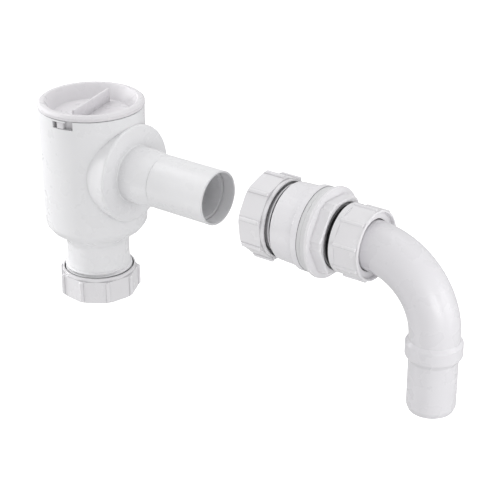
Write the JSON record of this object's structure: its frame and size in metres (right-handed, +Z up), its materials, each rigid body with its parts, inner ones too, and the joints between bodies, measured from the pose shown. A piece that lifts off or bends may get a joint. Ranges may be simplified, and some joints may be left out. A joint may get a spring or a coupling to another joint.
{
  "type": "tank overflow connector",
  "caption": "Overflow fitting for a water tank: a filter housing with a twist cap, a flanged wall connector with ribbed nuts, and a swivelling dip bend.",
  "frame": {"origin": "centre of the wall side of the flange washer, on the connector's axis", "axes": "+X through the tank wall toward the dip bend inside the tank, +Z up, +Y to the left when looking along +X"},
  "size_m": [0.3817, 0.0852, 0.1674],
  "materials": {
    "housing_plastic": "gloss",
    "cap_plastic": "gloss",
    "nut_plastic": "gloss",
    "connector_plastic": "gloss",
    "bend_plastic": "gloss",
    "washer_plastic": "satin",
    "white_rubber": "satin",
    "black_rubber": "satin",
    "basket_plastic": "satin",
    "mesh_steel": "satin"
  },
  "bodies": {
    "connector": {"connector_body": "connector_plastic", "flange_washer": "white_rubber", "thread_ring": "black_rubber", "inlet_seal_ring": "black_rubber", "bend_seal_ring": "black_rubber"},
    "housing": {"housing_body": "housing_plastic", "spigot_sleeve": "housing_plastic", "outlet_seal_ring": "black_rubber"},
    "cap": {"filter_cap": "cap_plastic", "cap_o_ring": "black_rubber", "filter_basket": "basket_plastic", "filter_mesh": "mesh_steel"},
    "outlet_washer": {"outlet_slip_washer": "washer_plastic"},
    "outlet_nut": {"outlet_nut": "nut_plastic"},
    "inlet_washer": {"inlet_slip_washer": "washer_plastic"},
    "inlet_nut": {"inlet_nut": "nut_plastic"},
    "backnut_washer": {"backnut_washer": "washer_plastic"},
    "backnut_nut": {"backnut": "nut_plastic"},
    "bend_washer": {"bend_slip_washer": "washer_plastic"},
    "bend_nut": {"bend_nut": "nut_plastic"},
    "bend": {"dip_bend": "bend_plastic"}
  },
  "joints": [
    {"name": "housing_slide", "type": "slide", "parent": "connector", "child": "housing", "axis": [1, 0, 0], "range_m": [0, 0.0794]},
    {"name": "cap_turn", "type": "hinge", "parent": "housing", "child": "cap", "pos_m": [-0.2235, 0, 0.05], "axis": [0, 0, 1], "range_deg": [0, 10.9]},
    {"name": "outlet_nut_travel", "type": "slide", "parent": "housing", "child": "outlet_washer", "axis": [0, 0, -1], "range_m": [0, 0.01351]},
    {"name": "outlet_nut_turn", "type": "hinge", "parent": "outlet_washer", "child": "outlet_nut", "pos_m": [-0.2235, 0, -0.1], "axis": [0, 0, -1], "range_deg": [0, 1620]},
    {"name": "inlet_nut_travel", "type": "slide", "parent": "connector", "child": "inlet_washer", "axis": [-1, 0, 0], "range_m": [0, 0.01351]},
    {"name": "inlet_nut_turn", "type": "hinge", "parent": "inlet_washer", "child": "inlet_nut", "pos_m": [-0.045, 0, 0], "axis": [-1, 0, 0], "range_deg": [0, 1620]},
    {"name": "backnut_nut_travel", "type": "slide", "parent": "connector", "child": "backnut_washer", "axis": [1, 0, 0], "range_m": [0, 0.00394]},
    {"name": "backnut_nut_turn", "type": "hinge", "parent": "backnut_washer", "child": "backnut_nut", "pos_m": [0.01, 0, 0], "axis": [1, 0, 0], "range_deg": [0, 612]},
    {"name": "bend_nut_travel", "type": "slide", "parent": "connector", "child": "bend_washer", "axis": [1, 0, 0], "range_m": [0, 0.00301]},
    {"name": "bend_nut_turn", "type": "hinge", "parent": "bend_washer", "child": "bend_nut", "pos_m": [0.032, 0, 0], "axis": [1, 0, 0], "range_deg": [0, 360]},
    {"name": "bend_swivel", "type": "hinge", "parent": "connector", "child": "bend", "pos_m": [0.02, 0, 0], "axis": [1, 0, 0], "continuous": true}
  ],
  "couplings": [
    {"joint": "outlet_nut_travel", "follows": "outlet_nut_turn", "m_per_rad": 0.00047746},
    {"joint": "inlet_nut_travel", "follows": "inlet_nut_turn", "m_per_rad": 0.00047746},
    {"joint": "backnut_nut_travel", "follows": "backnut_nut_turn", "m_per_rad": 0.00036749},
    {"joint": "bend_nut_travel", "follows": "bend_nut_turn", "m_per_rad": 0.00047746}
  ]
}
